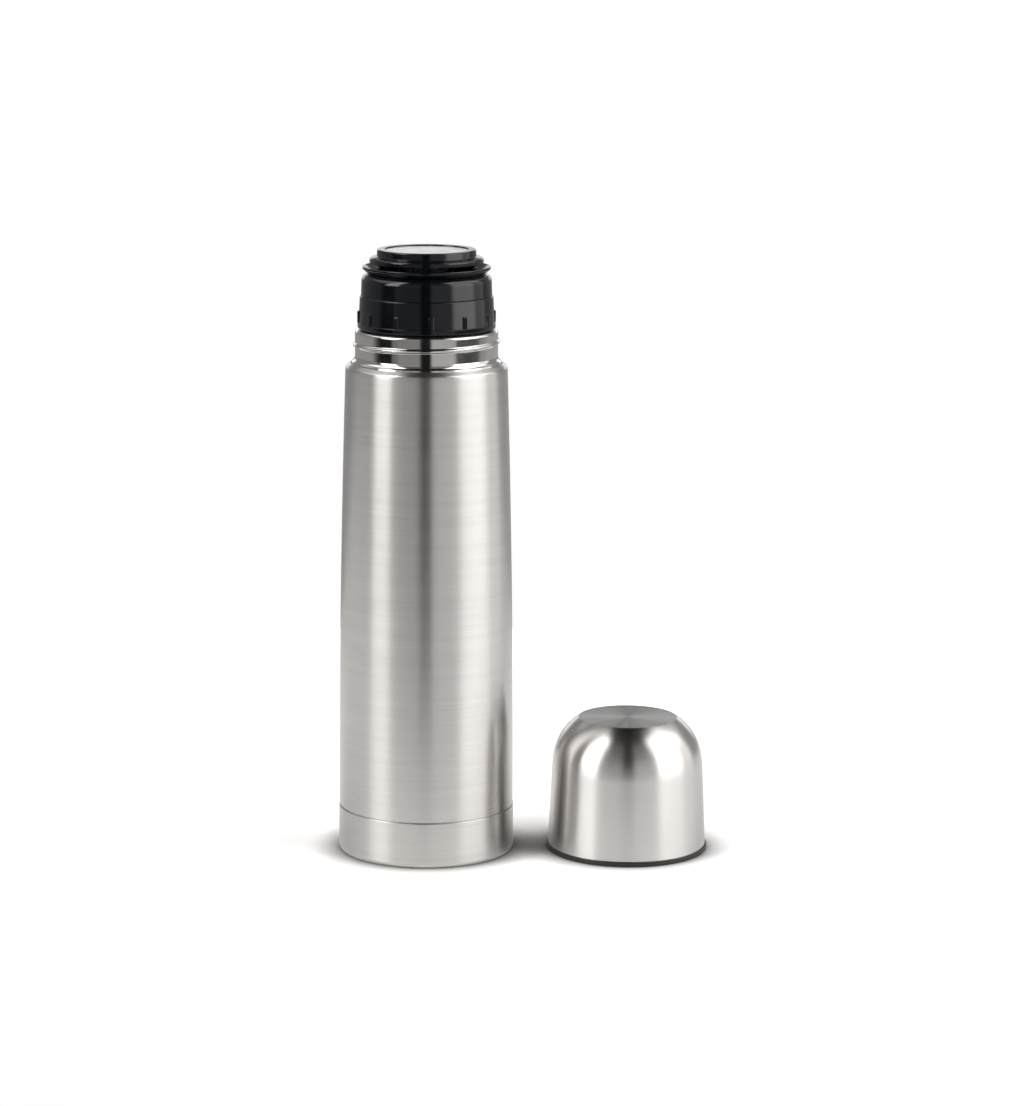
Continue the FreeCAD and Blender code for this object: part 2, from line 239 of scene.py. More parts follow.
def lathe(name, edges, columns=COLUMNS, relief=None, on_relief=None):
    """Mesh turned from an outline, with exact normals. relief(turn, height) is how far the edges
    that on_relief(points, normals) picks stand out of the turned surface, in millimetres."""
    turn = np.linspace(0, 2 * math.pi, columns, endpoint=False)
    cos, sin = np.cos(turn), np.sin(turn)
    verts, faces, normals = [], [], []
    known = {}

    def row(point, lift):
        """First vertex of the ring through an outline point."""
        key = (round(float(point[0]), 5), round(float(point[1]), 5))
        if key not in known:
            known[key] = len(verts)
            if key[0] < 1e-4:
                verts.append((0.0, 0.0, point[1] * MM))
            else:
                radii = (point[0] + lift) * MM
                heights = np.full(columns, point[1] * MM)
                verts.extend(np.stack((radii * cos, radii * sin, heights), axis=1).tolist())
        return known[key], key[0] < 1e-4

    for points, outward in edges:
        raised = relief is not None and on_relief(points, outward)
        rings = []
        for point, normal in zip(points, outward):
            if raised:
                lift, by_turn, by_height = slopes(relief, turn, np.full(columns, point[1]))
            else:
                lift = by_turn = by_height = np.zeros(columns)
            across = -by_turn / (point[0] + lift + 1e-9) * normal[0]
            along = normal[1] - by_height * normal[0]
            bent = np.stack(
                (normal[0] * cos - across * sin, normal[0] * sin + across * cos, along), axis=1
            )
            bent /= np.linalg.norm(bent, axis=1)[:, None]
            rings.append((*row(point, lift), bent))
        for (a, a_pole, a_n), (b, b_pole, b_n) in zip(rings, rings[1:]):
            if a == b or (a_pole and b_pole):
                continue
            for k in range(columns):
                m = (k + 1) % columns
                if a_pole:
                    faces.append((a, b + m, b + k))
                    normals.extend((a_n[k], b_n[m], b_n[k]))
                elif b_pole:
                    faces.append((a + k, a + m, b))
                    normals.extend((a_n[k], a_n[m], b_n[k]))
                else:
                    faces.append((a + k, a + m, b + m, b + k))
                    normals.extend((a_n[k], a_n[m], b_n[m], b_n[k]))
    mesh = bpy.data.meshes.new(name)
    mesh.from_pydata(verts, [], faces, shade_flat=False)
    mesh.normals_split_custom_set(np.array(normals).tolist())
    return mesh


def smooth(low, high, value):
    """Smooth step from 0 at low to 1 at high."""
    share = np.clip((value - low) / (high - low), 0, 1)
    return share * share * (3 - 2 * share)


def helical(height, half_width, crest, lead, start_z, start_angle, sweep, fade=12.0):
    """Relief of one thread ridge that climbs by lead in each turn. Half_width is at its foot and
    crest along its flat top. Angles are in degrees, and it fades in and out over fade degrees."""

    def relief(turn, heights):
        degrees = (np.degrees(turn) - start_angle) % 360
        total = np.zeros_like(heights)
        for lap in range(math.ceil(sweep / 360) + 1):
            along = degrees + 360 * lap
            away = np.abs(heights - start_z - lead * along / 360)
            ends = smooth(-fade / 2, fade / 2, along) * smooth(-fade / 2, fade / 2, sweep - along)
            total = np.maximum(total, smooth(half_width, crest, away) * ends)
        return height * total

    return relief


def plug_threads(height, start_z):
    """Relief of the quick thread between liner and stopper. Its starts don't overlap."""
    starts = [
        helical(height, 0.75, 0.45, PLUG_LEAD, start_z, start, PLUG_SWEEP) for start in PLUG_STARTS
    ]

    def relief(turn, heights):
        return sum(one(turn, heights) for one in starts)

    return relief


def wall_between(low, high, radius):
    """Picks the upright edges at that radius between two heights."""

    def pick(points, outward):
        inside = points[:, 1].min() > low and points[:, 1].max() < high
        return bool(inside and np.abs(points[:, 0] - radius).max() < 0.05)

    return pick


# --- material tools ---


def node(tree, kind, inputs=None, **settings):
    """Shader node. An input is a value, or another node's socket to link from."""
    made = tree.nodes.new("ShaderNode" + kind)
    for key, value in settings.items():
        setattr(made, key, value)
    for key, value in (inputs or {}).items():
        if isinstance(value, bpy.types.NodeSocket):
            tree.links.new(value, made.inputs[key])
        else:
            made.inputs[key].default_value = value
    return made


def math_node(tree, operation, first, second=0.0):
    """Result of a Math node on one or two values."""
    return node(tree, "Math", {0: first, 1: second}, operation=operation).outputs[0]


def start_material(name, constants):
    """Material with a Principled shader, whose constants are set on its own sockets."""
    made = bpy.data.materials.new(name)
    made.use_nodes = True
    shader = made.node_tree.nodes["Principled BSDF"]
    for key, value in constants.items():
        shader.inputs[key].default_value = value
    return made, made.node_tree, shader


def grain(tree, cells, detail=3.0):
    """Noise over the piece's own coordinates, with that many cells per metre along each axis."""
    place = node(tree, "TexCoord").outputs["Object"]
    scaled = node(tree, "Mapping", {"Vector": place, "Scale": cells}).outputs["Vector"]
    inputs = {"Vector": scaled, "Scale": 1.0, "Detail": detail, "Roughness": 0.55}
    return node(tree, "TexNoise", inputs).outputs["Fac"]


def spread(tree, factor, low, high):
    """Noise, which mostly lies between 0.3 and 0.7, stretched to run from low to high."""
    inputs = {"Value": factor, "From Min": 0.3, "From Max": 0.7, "To Min": low, "To Max": high}
    return node(tree, "MapRange", inputs, clamp=True).outputs["Result"]


def tint(tree, factor, dark, light):
    """Colour between two colours by a factor."""
    mixed = node(tree, "Mix", data_type="RGBA")
    tree.links.new(factor, mixed.inputs["Factor"])
    mixed.inputs["A"].default_value = (*dark, 1)
    mixed.inputs["B"].default_value = (*light, 1)
    return mixed.outputs["Result"]


def bump(tree, shader, height, strength, distance):
    """Bends the shader's normal by a height map, whose full height is distance in metres."""
    made = node(tree, "Bump", {"Height": height, "Strength": strength, "Distance": distance})
    tree.links.new(made.outputs["Normal"], shader.inputs["Normal"])


def brushed(name, colour, roughness, anisotropy, contrast=1.0):
    """Steel brushed round its axis: light spreads along the axis, across the brush lines.
    Contrast is how strongly the lines show."""
    constants = {"Metallic": 1.0, "Anisotropic": anisotropy, "Anisotropic Rotation": 0.25}
    made, tree, shader = start_material(name, constants)
    tangent = node(tree, "Tangent", direction_type="RADIAL", axis="Z")
    tree.links.new(tangent.outputs["Tangent"], shader.inputs["Tangent"])
    fine = grain(tree, (25, 25, 2600), detail=4)
    broad = grain(tree, (8, 8, 400), detail=2)
    scuff = grain(tree, (60, 60, 60), detail=5)
    share = 0.6
    lines = math_node(tree, "ADD", fine, math_node(tree, "MULTIPLY", broad, share))
    lines = math_node(tree, "DIVIDE", lines, 1 + share)
    dark = tuple(channel * (1 - 0.07 * contrast) for channel in colour)
    light = tuple(min(1.0, channel * (1 + 0.06 * contrast)) for channel in colour)
    shade = tint(tree, spread(tree, lines, 0, 1), dark, light)
    tree.links.new(shade, shader.inputs["Base Color"])
    rough = spread(tree, lines, roughness - 0.02 * contrast, roughness + 0.02 * contrast)
    worn = spread(tree, scuff, -0.012 * contrast, 0.012 * contrast)
    tree.links.new(math_node(tree, "ADD", rough, worn), shader.inputs["Roughness"])
    bump(tree, shader, lines, 0.25 * contrast ** 2, 0.00002)
    return made


def plain_metal(name, colour, roughness, cells=180, depth=0.00002, strength=0.15):
    """Metal with no brush lines: pressed, polished or drawn."""
    made, tree, shader = start_material(name, {"Metallic": 1.0})
    cloud = grain(tree, (cells, cells, cells), detail=4)
    dark = tuple(channel * 0.92 for channel in colour)
    tree.links.new(tint(tree, spread(tree, cloud, 0, 1), dark, colour), shader.inputs["Base Color"])
    rough = spread(tree, cloud, roughness * 0.8, roughness * 1.2)
    tree.links.new(rough, shader.inputs["Roughness"])
    bump(tree, shader, cloud, strength, depth)
    return made


def plastic(name, dark, light, roughness, depth=0.00001, constants=None):
    """Moulded plastic: faint mottling in its colour, its gloss and its skin."""
    made, tree, shader = start_material(name, {"IOR": 1.5, **(constants or {})})
    skin = grain(tree, (900, 900, 900))
    cloud = grain(tree, (90, 90, 90))
    tree.links.new(tint(tree, spread(tree, cloud, 0, 1), dark, light), shader.inputs["Base Color"])
    rough = spread(tree, cloud, roughness * 0.85, roughness * 1.15)
    tree.links.new(rough, shader.inputs["Roughness"])
    bump(tree, shader, skin, 0.2, depth)
    return made


# --- materials ---


def cup_steel():
    """The cup's brushed steel. On its flat top the colour is darker, with radial streaks: painted
    reflection standing in for the rays that a spun top shows.
    """
    made = brushed("cup_steel", (0.66, 0.645, 0.63), 0.27, 0.8, contrast=0.15)
    tree = made.node_tree
    shader = tree.nodes["Principled BSDF"]
    place = node(tree, "TexCoord").outputs["Object"]
    flat = node(tree, "VectorMath", {0: place, 1: (1, 1, 0)}, operation="MULTIPLY").outputs[0]
    ring = node(tree, "VectorMath", {0: flat}, operation="NORMALIZE").outputs[0]
    # Painted reflection: inside the flat top's radius the base colour is darker grey, with radial
    # streaks from noise round the axis.
    rays = node(tree, "TexNoise", {"Vector": ring, "Scale": 6.0, "Detail": 5.0, "Roughness": 0.6})
    radius = node(tree, "VectorMath", {0: flat}, operation="LENGTH").outputs["Value"]
    inside = math_node(tree, "LESS_THAN", radius, CUP_DISC_R * MM)
    plain = shader.inputs["Base Color"].links[0].from_socket
    shade = spread(tree, rays.outputs["Fac"], 0, 1)
    painted_reflection_streaks = tint(tree, shade, (0.42, 0.42, 0.42), (0.60, 0.60, 0.595))
    mixed = node(tree, "Mix", {"Factor": inside}, data_type="RGBA")
    tree.links.new(plain, mixed.inputs["A"])
    tree.links.new(painted_reflection_streaks, mixed.inputs["B"])
    tree.links.new(mixed.outputs["Result"], shader.inputs["Base Color"])
    return made


STEEL_BODY = brushed("barrel_steel", (0.62, 0.605, 0.59), 0.30, 0.8)
STEEL_CUP = cup_steel()
STEEL_NECK = plain_metal("neck_steel", (0.72, 0.71, 0.70), 0.09, cells=120, strength=0.05)
STEEL_INSIDE = brushed("vessel_steel", (0.62, 0.61, 0.60), 0.30, 0.6)
STEEL_PLAIN = plain_metal("pressed_steel", (0.58, 0.57, 0.56), 0.32)
STEEL_WIRE = plain_metal("wire_steel", (0.55, 0.54, 0.53), 0.24, cells=2500)
GETTER = plain_metal("getter_metal", (0.22, 0.21, 0.20), 0.55, cells=3000, depth=0.00004)
COPPER = plain_metal(
    "copper_wrap", (0.85, 0.47, 0.32), 0.22, cells=260, depth=0.00006, strength=0.4
)
BEAD = plastic(
    "sealing_glass", (0.30, 0.20, 0.10), (0.42, 0.30, 0.16), 0.12,
    constants={"Transmission Weight": 0.5},
)
BLACK_GLOSS = plastic("stopper_plastic", (0.002, 0.003, 0.005), (0.004, 0.005, 0.008), 0.10)
BLACK_MATT = plastic(
    "rim_plastic", (0.010, 0.008, 0.007), (0.018, 0.014, 0.012), 0.42, depth=0.00003
)
WHITE = plastic("liner_plastic", (0.74, 0.73, 0.70), (0.80, 0.79, 0.76), 0.34)
DISC = plain_metal("disc_insert", (0.90, 0.90, 0.89), 0.22, strength=0.05)
SILICONE = plastic(
    "gasket_silicone", (0.70, 0.71, 0.70), (0.78, 0.79, 0.78), 0.38,
    constants={"Transmission Weight": 0.35, "Subsurface Weight": 0.1},
)


# --- flask ---


def on_shoulder(r, sunk=0.0):
    """Point of the shoulder's slope at a radius, or sunk below it."""
    slope = (NECK_FOOT - SHOULDER[1]) / (SHOULDER[0] - NECK_R)
    return r, NECK_FOOT - (r - NECK_R) * slope - sunk


def barrel():
    """Brushed side of the outer shell, from inside the base cap over its rounded shoulder."""
    outline = edges_of(
        [
            (BASE_R - STEEL, BASE_FOOT + 5.0),
            (BASE_R - STEEL, CAP_TOP + 0.2),
            (SHELL_FOOT_R, CAP_TOP + 0.5),
            (SHELL_FOOT_R, CAP_TOP + 1.8),
            (*SHELL_TOP, *SHELL_MID),
            (*SHOULDER, 1.4),
            (*on_shoulder(SEAM_R), SEAM_EDGE),
            on_shoulder(SEAM_R - SEAM_EDGE, SEAM_DEPTH - 0.1),
        ],
        closed=False,
    )
    mesh = lathe("barrel", walled(outline, SKIN))
    return link("barrel", mesh, STEEL_BODY, "flask", ["outer_shell"])


def neck():
    """Polished neck of the outer shell, with the bead that the cup screws on to. Its foot runs
    under the barrel's edge, which leaves a fine seam on the shoulder."""
    outline = edges_of(
        [
            on_shoulder(SEAM_R + SEAM_GAP, SEAM_DEPTH + 0.2),
            on_shoulder(SEAM_R - 0.7 * SEAM_GAP, SEAM_DEPTH),
            (*on_shoulder(SEAM_R - SEAM_GAP), 0.1),
            (NECK_R, NECK_FOOT, 2.6),
            (NECK_R, RIM, 1.0),
            (NECK_R - NECK_LIP, RIM),
        ],
        closed=False,
        step=RELIEF_STEP,
    )
    bead = helical(0.75, 1.1, 0.15, CUP_LEAD, RIM - 6.6, 110, 320, fade=24)
    on_neck = wall_between(NECK_FOOT + 1.0, RIM - 0.4, NECK_R)
    mesh = lathe("neck", walled(outline, SKIN), relief=bead, on_relief=on_neck)
    return link("neck", mesh, STEEL_NECK, "flask", ["outer_shell"])


def base_cap():
    """Pan pressed over the foot of the shell."""
    bore = BASE_R - STEEL + CAP_FIT
    outline = edges_of(
        [
            (0, BASE_FOOT + PAN_RISE),
            (23.0, BASE_FOOT + PAN_RISE, 0.8),
            (24.6, BASE_FOOT, 0.6),
            (BASE_R, BASE_FOOT, CAP_EDGE),
            (BASE_R, CAP_TOP, 0.18),
            (bore, CAP_TOP, 0.12),
            (bore, STEEL, CAP_EDGE - STEEL),
            (25.0, STEEL, 0.3),
            (23.4, PAN_RISE + STEEL, 0.3),
            (0, PAN_RISE + STEEL),
        ]
    )
    mesh = lathe("base_pan", outline)
    return link("base_pan", mesh, STEEL_BODY, "flask", ["base_cap"])


def inner_vessel():
    """Liner that holds the drink, with the stopper's thread standing in from its neck."""
    bend = VESSEL_STEEL
    outline = edges_of(
        [
            (31.1 + bend, CAP_TOP - 0.2),
            (29.0 + bend, 170.0, 30.45 + bend, 95.0),
            (28.8 + bend, THROAT_Z - 9.8, 5.0),
            (THROAT_R + bend, THROAT_Z - 3.8, 1.5),
            (THROAT_R + bend, THROAT_Z - 0.2, 0.8),
            (BORE_R + bend, THROAT_Z + 3.0, 0.8),
            (BORE_R + bend, RIM - VESSEL_DROP, 0.7),
            (NECK_R - NECK_LIP, RIM - VESSEL_DROP),
        ],
        closed=False,
        step=RELIEF_STEP * 2,
    )
    threads = plug_threads(-0.95, THROAT_Z + 11.0)
    on_bore = wall_between(THROAT_Z + 4.0, RIM - 1.0, BORE_R)
    mesh = lathe("vessel", walled(outline, VESSEL_STEEL), relief=threads, on_relief=on_bore)
    return link("vessel", mesh, STEEL_INSIDE, "flask", ["inner_vessel"])


# --- stopper ---


def core():
    """Hollow threaded plug of the stopper."""
    outline = edges_of(
        [
            (11.0, CORE_FOOT, 0.3),
            (19.6, CORE_FOOT, 0.3),
            (19.6, CORE_FOOT + 1.0, 0.15),
            (19.0, CORE_FOOT + 1.0),
            (19.0, THROAT_Z + 2.25),
            (CORE_R, THROAT_Z + 2.25, 0.3),
            (CORE_R, COLLAR_TOP),
            (SPIGOT_R, COLLAR_TOP),
            (SPIGOT_R, COLLAR_TOP - 9.8),
            (18.9, COLLAR_TOP - 9.8),
            (18.9, CORE_FOOT + 8.5, 0.4),
            (17.4, CORE_FOOT + 7.0, 0.4),
            (17.4, CORE_FOOT + 2.5, 0.8),
            (11.0, CORE_FOOT + 2.5, 0.3),
        ],
        step=RELIEF_STEP * 2,
    )
    threads = plug_threads(1.05, THROAT_Z + 9.0)
    on_core = wall_between(THROAT_Z + 2.0, COLLAR_TOP + 1.0, CORE_R)
    mesh = lathe("plug_core", outline, relief=threads, on_relief=on_core)
    return link("plug_core", mesh, BLACK_GLOSS, "stopper", ["stopper_core"])


def collar_ribs(turn, heights):
    """Relief of the short ribs round the foot of the collar's wall."""
    count, first, half_width, edge = 12, -85.0, 0.83, 0.28
    pitch = 360 / count
    off = (np.degrees(turn) - first + pitch / 2) % pitch - pitch / 2
    away = np.abs(np.radians(off)) * COLLAR_FLANGE_R
    rib_top = COLLAR_TOP - RIB_DROP
    upright = smooth(rib_top + edge, rib_top, heights)
    foot_r, top_r = COLLAR_WALL_R
    wall = foot_r - (foot_r - top_r) * (heights - COLLAR_TOP + COLLAR_WALL) / COLLAR_WALL
    return (RIB_R - wall) * smooth(half_width + edge / 2, half_width - edge / 2, away) * upright


def collar():
    """Ribbed collar that the hand turns."""
    foot_r, top_r = COLLAR_WALL_R
    outline = edges_of(
        [
            (CORE_R, COLLAR_FOOT),
            (26.45, COLLAR_FOOT, 0.25),
            (COLLAR_FLANGE_R, COLLAR_FOOT + 0.85, 0.4),
            (COLLAR_FLANGE_R, COLLAR_TOP - COLLAR_WALL - 0.05, 0.25),
            (foot_r, COLLAR_TOP - COLLAR_WALL),
            (top_r, COLLAR_TOP, 0.45),
            (24.8, COLLAR_TOP),
            (25.3, COLLAR_TOP - 11.9),
            (CORE_R, COLLAR_TOP - 11.9),
        ],
        step=RELIEF_STEP * 2,
    )

    def on_wall(points, outward):
        over_flange = points[:, 1].min() > COLLAR_TOP - COLLAR_WALL - 0.15
        return bool(over_flange and points[:, 0].min() > top_r - 0.05)

    mesh = lathe("grip_ring", outline, columns=720, relief=collar_ribs, on_relief=on_wall)
    return link("grip_ring", mesh, BLACK_GLOSS, "stopper", ["grip_collar"])


def housing():
    """Upper body of the stopper, whose skirt stands in the plug with an O-ring round it."""
    outline = edges_of(
        [
            (17.6, COLLAR_TOP - 7.3),
            (SPIGOT_R, COLLAR_TOP - 7.3),
            (SPIGOT_R, COLLAR_TOP - 5.1),
            (18.8, COLLAR_TOP - 5.1),
            (18.8, COLLAR_TOP - 3.9),
            (SPIGOT_R, COLLAR_TOP - 3.9),
            (SPIGOT_R, COLLAR_TOP),
            (HOUSING_R, COLLAR_TOP, 0.3),
            (HOUSING_R - 0.3, HOUSING_TOP, 2.8),
            (POUR_WALL_R, HOUSING_TOP),
            (POUR_WALL_R, POUR_FOOT),
            (17.6, POUR_FOOT, 0.3),
        ]
    )
    mesh = lathe("housing", outline)
    return link("housing", mesh, BLACK_GLOSS, "stopper", ["upper_housing"])


def pour_ring():
    """Flared pouring lip, set in the housing."""
    outline = edges_of(
        [
            (POUR_BORE_R, POUR_FOOT),
            (POUR_WALL_R, POUR_FOOT),
            (POUR_WALL_R, HOUSING_TOP),
            (POUR_R, POUR_TOP - 1.0, 0.3),
            (POUR_R, POUR_TOP, 0.35),
            (POUR_R - 0.8, POUR_TOP, 0.3),
            (POUR_BORE_R, POUR_TOP - 3.5, 0.4),
        ]
    )
    mesh = lathe("lip_ring", outline)
    return link("lip_ring", mesh, BLACK_GLOSS, "stopper", ["pour_ring"])


def gasket():
    """Silicone ring between the foot of the plug and the liner's throat."""
    bore = 19.1
    outline = edges_of(
        [
            (bore, CORE_FOOT + 1.1, 0.2),
            (20.5, CORE_FOOT + 1.1, 0.3),
            (20.5, THROAT_Z - 0.1, 0.3),
            (22.7, THROAT_Z + 2.1, 0.2),
            (bore, THROAT_Z + 2.1, 0.2),
        ]
    )
    mesh = lathe("seat_gasket", outline)
    return link("seat_gasket", mesh, SILICONE, "gasket", ["neck_gasket"])


def spring():
    """Open coil with its end turns closed, whose foot stays as the button comes down on it."""
    wire_r, coil_r, gap = 0.5, 6.0, 3.0
    turns, closed = 7.5, 0.9
    sides, per_turn = 12, 48
    free = SPRING_TOP - SPRING_FOOT
    count = int(turns * per_turn)
    lap = np.linspace(0, turns, count + 1)
    last = turns - closed
    rise = smooth(closed - 0.5, closed + 0.5, lap) * smooth(last + 0.5, last - 0.5, lap)
    pitch = 2 * wire_r + rise * gap
    height = np.concatenate(([0.0], np.cumsum((pitch[1:] + pitch[:-1]) / 2) / per_turn))
    height *= (free - 2 * wire_r) / height[-1]
    angle = lap * 2 * math.pi
    out = np.stack((np.cos(angle), np.sin(angle), np.zeros_like(angle)), axis=1)
    centre = coil_r * out
    centre[:, 2] = SPRING_FOOT + wire_r + height
    along = np.gradient(centre, axis=0)
    along /= np.linalg.norm(along, axis=1)[:, None]
    up = np.cross(out, along)
    section = np.linspace(0, 2 * math.pi, sides, endpoint=False)
    verts = []
    for c, o, u in zip(centre, out, up):
        verts.extend((c + wire_r * (math.cos(a) * o + math.sin(a) * u)) * MM for a in section)
    faces = []
    for i in range(count):
        for k in range(sides):
            m = (k + 1) % sides
            faces.append((i * sides + k, (i + 1) * sides + k, (i + 1) * sides + m, i * sides + m))
    faces.append(tuple(range(sides)))
    faces.append(tuple(count * sides + k for k in reversed(range(sides))))
    mesh = bpy.data.meshes.new("spring")
    mesh.from_pydata([tuple(v) for v in verts], [], faces, shade_flat=False)
    mesh.set_sharp_from_angle(angle=math.radians(50))
    piece = link("spring", mesh, STEEL_WIRE, "stopper", ["button_spring"])
    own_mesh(piece)
    return piece


# --- button and valve ---


def button():
    """Mushroom button, with a socket for the stem below and a seat for the disc on top."""
    deck = BUTTON_CEILING + 2.0
    outline = edges_of(
        [
            (0, BUTTON_CEILING),
            (STEM_R, BUTTON_CEILING),
            (STEM_R, SOCKET_FOOT),
            (4.6, SOCKET_FOOT, 0.3),
            (4.6, BUTTON_CEILING),
            (15.0, BUTTON_CEILING, 0.8),
            (15.0, BUTTON_TOP - 7.8, 0.3),
            (17.2, BUTTON_TOP - 7.8, 0.5),
            (21.1, BUTTON_TOP - 5.7, 0.5),
            (LIP_R, BUTTON_TOP - 5.3, 0.3),
            (LIP_R, BUTTON_TOP - 3.4, 0.9),
            (BUTTON_R + 0.1, BUTTON_TOP - 2.7, 0.15),
            (BUTTON_R, BUTTON_TOP, 0.5),
            (DISC_R + 0.1, BUTTON_TOP, 0.15),
            (DISC_R + 0.1, deck),
            (0, deck),
        ]
    )
    mesh = lathe("button", outline)
    return link("button", mesh, BLACK_GLOSS, "button", ["push_button"])


def disc():
    """Pale disc let into the button."""
    outline = edges_of(
        [
            (0, DISC_FOOT),
            (DISC_R, DISC_FOOT),
            (DISC_R, DISC_TOP, 0.3),
            (DISC_R - 1.2, DISC_TOP),
            (0, DISC_TOP),
        ]
    )
    mesh = lathe("disc", outline)
    return link("disc", mesh, DISC, "button", ["button_disc"])


def stem():
    """Rod from the button down to the valve, with a blind hole for the screw in its foot."""
    outline = edges_of(
        [
            (SCREW_R, STEM_FOOT, 0.1),
            (STEM_R, STEM_FOOT, 0.3),
            (STEM_R, BUTTON_CEILING),
            (0, BUTTON_CEILING),
            (0, STEM_FOOT + 8.0),
            (SCREW_R, STEM_FOOT + 8.0),
        ]
    )
    mesh = lathe("stem", outline, columns=96)
    return link("stem", mesh, WHITE, "button", ["valve_stem"])


def valve_plate():
    """Disc that closes the foot of the plug."""
    foot = STEM_FOOT - 1.8
    outline = edges_of(
        [
            (SCREW_R, foot),
            (9.0, foot),
            (13.2, foot, 0.6),
            (13.2, STEM_FOOT, 0.4),
            (SCREW_R, STEM_FOOT),
        ]
    )
    mesh = lathe("valve_plate", outline)
    return link("valve_plate", mesh, WHITE, "button", ["valve_head"])


def valve_washer():
    """Silicone ring on the valve plate, which seals against the plug."""
    bore, outer, top = 10.6, 12.7, STEM_FOOT + 0.9
    outline = edges_of([(bore, STEM_FOOT), (outer, STEM_FOOT), (outer, top, 0.3), (bore, top, 0.3)])
    mesh = lathe("valve_washer", outline)
    return link("valve_washer", mesh, SILICONE, "button", ["valve_seal"])


# --- cup ---


def on_arc(centre_r, centre_z, radius, degrees):
    """Point of an arc, at so many degrees up from level."""
    angle = math.radians(degrees)
    return centre_r + radius * math.cos(angle), centre_z + radius * math.sin(angle)


def cup_side(inset):
    """Open outline of the cup at an even depth inside its outer face: wall, hip and dome."""
    foot_of_hip = on_arc(HIP_R, HIP_Z, HIP_RADIUS - inset, HIP_FOOT)
    along_hip = on_arc(HIP_R, HIP_Z, HIP_RADIUS - inset, (HIP_FOOT + HIP_TOP) / 2)
    centre = on_arc(HIP_R, HIP_Z, HIP_RADIUS - DOME_RADIUS, HIP_TOP)
    radius = DOME_RADIUS - inset
    crown = math.degrees(math.asin((CUP_HEIGHT - inset - centre[1]) / radius))
    return [
        (CUP_MOUTH_R - inset, BAND_FLOOR),
        foot_of_hip,
        (*on_arc(*centre, radius, HIP_TOP), *along_hip),
        (*on_arc(*centre, radius, crown), *on_arc(*centre, radius, (crown + HIP_TOP) / 2)),
    ]


def backwards(corners):
    """The same open outline, walked from its other end."""
    back = [corners[-1][:2]]
    for later, earlier in zip(corners[::-1], corners[-2::-1]):
        back.append((*earlier[:2], *later[2:]))
    return back


def cup_skin(inset, thickness):
    """Closed outline of a cup of even thickness."""
    outside = cup_side(inset)
    inside = cup_side(inset + thickness)
    return [(0, outside[-1][1]), (0, inside[-1][1]), *backwards(inside), *outside]


def cup_outside():
    """Steel outside of the cup."""
    mesh = lathe("cup_skin", edges_of(cup_skin(0, STEEL)))
    return link("cup_skin", mesh, STEEL_CUP, "cup", ["cup_shell"], CUP_AXIS)


def cup_inside():
    """Moulded lining of the cup, with the thread ridge near its mouth."""
    outline = edges_of(cup_skin(STEEL, LINER_WALL), step=RELIEF_STEP * 4)
    thread = helical(-0.8, 0.7, 0.35, CUP_LEAD, 5.3, 110, 300)
    below_hip = HIP_Z + 4        # past the straight wall's end, short of the hip's

    def on_bore(points, outward):
        return bool(outward[0][0] < -0.9 and points[:, 1].max() < below_hip)

    mesh = lathe("cup_lining", outline, relief=thread, on_relief=on_bore)
    return link("cup_lining", mesh, WHITE, "cup", ["cup_liner"], CUP_AXIS)


def cup_band():
    """Dark band round the cup's mouth, which the steel and the lining stand in."""
    bore = CUP_MOUTH_R - STEEL - LINER_WALL
    outline = edges_of(
        [
            (bore, 0, 0.3),
            (CUP_BAND_R, 0, 0.35),
            (CUP_BAND_R, 2.0, 0.35),
            (CUP_MOUTH_R, 2.0),
            (CUP_MOUTH_R, BAND_FLOOR),
            (bore, BAND_FLOOR),
        ]
    )
    mesh = lathe("cup_band", outline)
    return link("cup_band", mesh, BLACK_MATT, "cup", ["cup_rim_band"], CUP_AXIS)


# --- CAD nodes that stay ---

KEPT = {
    "inner_bottom": STEEL_INSIDE,
    "outer_bottom": STEEL_PLAIN,
    "vacuum_plug": BEAD,
    "getter": GETTER,
    "getter_clip": STEEL_PLAIN,
    "copper_foil": COPPER,
    "stem_guide": WHITE,
    "housing_gasket": SILICONE,
    "valve_screw": STEEL_WIRE,
}


def finish_kept():
    """Gives the CAD nodes that stay their materials."""
    for name, material in KEPT.items():
        for slot in frame["nodes"][name].material_slots:
            slot.material = material


# --- stage ---

FLOOR_GAIN = 2.1                 # the floor is overexposed for the camera, as a product shot is
FLOOR_GLOW = 0.28                # share added where the object mirrors it
SHADOW_REACH = 0.016             # it darkens this close to what stands on it
SHADOW_DEPTH = 0.17              # share of its brightness left in the darkest shadow


def table_top():
    """Pale matt paint with a contact shadow, brightened for the camera and for mirrored rays."""
    made, tree, shader = start_material("table_top", {"Roughness": 0.85, "Specular IOR Level": 0.2})
    cloud = grain(tree, (9, 9, 9))
    paint = tint(tree, spread(tree, cloud, 0, 1), (0.84, 0.84, 0.84), (0.86, 0.86, 0.86))
    ray = node(tree, "LightPath").outputs
    open_sky = node(tree, "AmbientOcclusion", {"Distance": SHADOW_REACH}, samples=16).outputs["AO"]
    clear = {"Value": open_sky, "From Min": 0.5, "From Max": 0.95, "To Min": SHADOW_DEPTH}
    contact = node(tree, "MapRange", clear, clamp=True).outputs["Result"]
    bright = math_node(tree, "MULTIPLY", contact, FLOOR_GAIN)
    extra = math_node(tree, "SUBTRACT", bright, 1.0)
    seen = math_node(tree, "MULTIPLY", ray["Is Camera Ray"], extra)
    mirrored = math_node(tree, "MULTIPLY", ray["Is Glossy Ray"], FLOOR_GLOW)
    gain = math_node(tree, "ADD", math_node(tree, "ADD", seen, mirrored), 1.0)
    lit = node(tree, "VectorMath", {0: paint, "Scale": gain}, operation="SCALE").outputs[0]
    tree.links.new(lit, shader.inputs["Base Color"])
    return made


